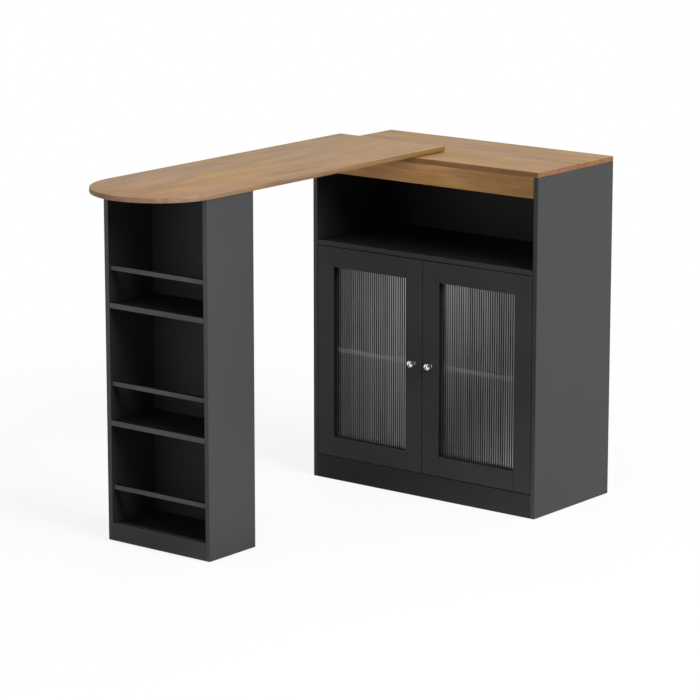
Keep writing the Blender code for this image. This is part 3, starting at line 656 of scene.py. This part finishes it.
def shelf_pins():
    """Pins under the loose shelf, and the rows of holes for them, as discs of painted shade."""
    low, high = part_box("cabinet_inner_shelf")
    level = low.z - PIN_RADIUS - PIN_GAP
    walls = ((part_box("cabinet_side_left")[1].x, RIGHT), (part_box("cabinet_side_right")[0].x, -RIGHT))
    pin_places, hole_places = [], []
    for x, way in walls:
        for y in (low.y + PIN_INSET, high.y - PIN_INSET):
            pin_places.append((Vector((x, y, level)), way))
            hole_places += [(Vector((x, y, level + PIN_STEP * row)), way) for row in PIN_ROWS]
    pins("shelf_pins", pin_places, PIN_LENGTH, PIN_COLLAR, steel, "zinc_steel")
    pins("shelf_pin_holes_painted_shade", hole_places, HOLE_FACE, HOLE_RIM, hole_painted_shade, "black_melamine")


def under_board(solid, inset):
    """Places for connector caps under a board, near its ends."""
    low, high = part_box(solid)
    return [(Vector((x, y, low.z)), DOWN) for x in (low.x + CAP_INSET, high.x - CAP_INSET)
            for y in (low.y + inset, high.y - inset)]


def cabinet_caps():
    """Connector caps under the divider and behind the apron."""
    low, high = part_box("cabinet_apron")
    level = (low.z + high.z) / 2
    places = under_board("cabinet_divider", DIVIDER_CAP_INSET)
    places += [(Vector((x, high.y, level)), REAR) for x in (low.x + CAP_INSET, high.x - CAP_INSET)]
    screws("cabinet_caps", "cabinet", places, CAP, cap_plastic, "black_nylon")


def tower_caps():
    """Connector caps under the tower's shelves and inside its sides."""
    places = under_board("tower_shelf_upper", SHELF_CAP_INSET)
    places += under_board("tower_shelf_lower", SHELF_CAP_INSET)
    front, rear = SIDE_CAP_INSETS
    for solid, way in (("tower_side_left", RIGHT), ("tower_side_right", -RIGHT)):
        low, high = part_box(solid)
        x = high.x if way.x > 0 else low.x
        places += [(Vector((x, y, high.z - CAP_INSET)), way) for y in (low.y + front, high.y - rear)]
    screws("tower_caps", "bar", places, CAP, cap_plastic, "black_nylon")


for solid in solids:
    if solid.endswith(("_knob", "_cup", "_wheel")) or solid in ("bar_top", "pivot_bush", "pivot_post"):
        smooth_copy(solid)
for side, inwards in (("left", RIGHT), ("right", -RIGHT)):
    door_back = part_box(f"{side}_door_meeting_stile")[1].y
    fluted_pane(side)
    bead_screws(side)
    knob_screw(side, door_back)
    hinge_screws(side, inwards, door_back)
shelf_pins()
cabinet_caps()
tower_caps()


# Studio

def seen_directly(tree, mirrored):
    """1 where the camera looks straight or through glass, a share in mirrored rays, 0 in rays that light."""
    rays = node(tree, "ShaderNodeLightPath").outputs
    straight = calc(tree, "MAXIMUM", rays["Is Camera Ray"], rays["Is Transmission Ray"])
    seen = calc(tree, "MAXIMUM", straight, calc(tree, "MULTIPLY", rays["Is Glossy Ray"], mirrored))
    return calc(tree, "MULTIPLY", seen, calc(tree, "LESS_THAN", rays["Diffuse Depth"], 0.5))


def white_sky():
    """Even light from all round, which the camera sees as plain white."""
    world = bpy.data.worlds.new("studio")
    scene.world = world
    world.use_nodes = True
    tree = world.node_tree
    light = tree.nodes["Background"]
    light.inputs["Color"].default_value = (*WHITE, 1.0)
    wire(tree, light, Strength=fade(tree, seen_directly(tree, 1.0), SKY_LEVEL, 1.0))


def sheet(name, half):
    """A flat square for the stage."""
    bm = bmesh.new()
    bmesh.ops.create_grid(bm, x_segments=1, y_segments=1, size=half)
    mesh = bpy.data.meshes.new(name)
    bm.to_mesh(mesh)
    bm.free()
    return shown(name, mesh)


def pale_floor():
    """A pale paper floor with the object's faint shadow, which turns plain white further out."""
    floor = sheet("studio_floor", FLOOR_HALF)
    floor.location.z = -FLOOR_DROP
    paper, tree, shader, place = finish("studio_paper", Roughness=0.9)
    rays = node(tree, "ShaderNodeLightPath").outputs
    bounced = calc(tree, "MULTIPLY", rays["Is Diffuse Ray"], FLOOR_BOUNCE)
    level = calc(tree, "MAXIMUM", seen_directly(tree, 0.0), calc(tree, "MAXIMUM", bounced, FLOOR_LEAST))
    pale = ramp(tree, grain(tree, place, (3.0, 3.0, 3.0)), (0.3, grey(0.88)), (0.7, grey(0.92)))
    wire(tree, shader, Base_Color=tint(tree, level, (0.0, 0.0, 0.0, 1.0), pale))
    glow = node(tree, "ShaderNodeEmission", {"Color": (*WHITE, 1.0), "Strength": 1.0})
    span = node(tree, "ShaderNodeVectorMath", {0: place}, operation="LENGTH").outputs["Value"]
    white = fade(tree, span, FLOOR_GLOW, 1.0, *GLOW_SPAN)
    far = fade(tree, span, 0.0, FLOOR_MIRRORED[0], *MIRROR_SPAN)
    # Painted light: in mirrored rays the floor glows white far out and on the key lamp's side.
    key_side_painted_light = fade(tree, axes(tree, place)["X"], 0.0, FLOOR_MIRRORED[1], *KEY_SIDE)
    share = calc(tree, "MULTIPLY", seen_directly(tree, calc(tree, "MAXIMUM", far, key_side_painted_light)), white)
    both = node(tree, "ShaderNodeMixShader", {0: share, 1: shader.outputs[0], 2: glow.outputs[0]})
    tree.links.new(both.outputs[0], tree.nodes["Material Output"].inputs["Surface"])
    floor.data.materials.append(paper)


def dark_flag():
    """A dark flag beside the camera, there only in mirrored rays: a painted dark reflection for the chrome
    to show.
    """
    flag = sheet("studio_flag", 1.0)
    turn = math.radians(FLAG_AZIMUTH)
    flag.location = (FLAG_AWAY * math.sin(turn), -FLAG_AWAY * math.cos(turn), FLAG_SIZE[1] / 2)
    flag.rotation_euler = (math.pi / 2, 0.0, turn)
    flag.scale = (FLAG_SIZE[0] / 2, FLAG_SIZE[1] / 2, 1.0)
    flag.visible_camera = flag.visible_diffuse = flag.visible_shadow = flag.visible_transmission = False
    felt, tree, shader, place = finish("studio_felt", Roughness=1.0, Specular_IOR_Level=0.0)
    nap = grain(tree, place, (90.0, 90.0, 90.0))
    wire(tree, shader, Base_Color=ramp(tree, nap, (0.3, grey(0.006)), (0.7, grey(0.012))))
    flag.data.materials.append(felt)


def lamp(name, azimuth, elevation, distance, width, level):
    """A soft square lamp; at level 1 a matt white surface that faces it renders white."""
    data = bpy.data.lights.new(name, "AREA")
    data.size = width
    data.energy = level * (math.pi * distance) ** 2
    flat = math.radians(azimuth)
    rise = math.radians(elevation)
    way = Vector((math.sin(flat) * math.cos(rise), -math.cos(flat) * math.cos(rise), math.sin(rise)))
    thing = shown(name, data)
    thing.location = (cad_box[0] + cad_box[1]) / 2 + way * distance
    thing.rotation_euler = (math.pi / 2 - rise, 0.0, flat)
    thing.visible_camera = False


def photograph_camera():
    """A camera at the photograph's viewing angle."""
    data = bpy.data.cameras.new("camera")
    data.sensor_width = CAMERA_SENSOR
    data.lens = CAMERA_LENS
    data.clip_end = CAMERA_REACH
    camera = shown("camera", data)
    camera.location = CAMERA_PLACE
    tilt = math.pi / 2 - math.radians(CAMERA_ELEVATION)
    camera.rotation_euler = (tilt, 0.0, math.radians(CAMERA_AZIMUTH))
    return camera


white_sky()
pale_floor()
dark_flag()
lamp("key_lamp", *KEY_LAMP, KEY_LEVEL)
lamp("fill_lamp", *FILL_LAMP, FILL_LEVEL)
bpy.context.scene.camera = photograph_camera()
scene.view_settings.view_transform = "Standard"

bpy.context.view_layer.update()
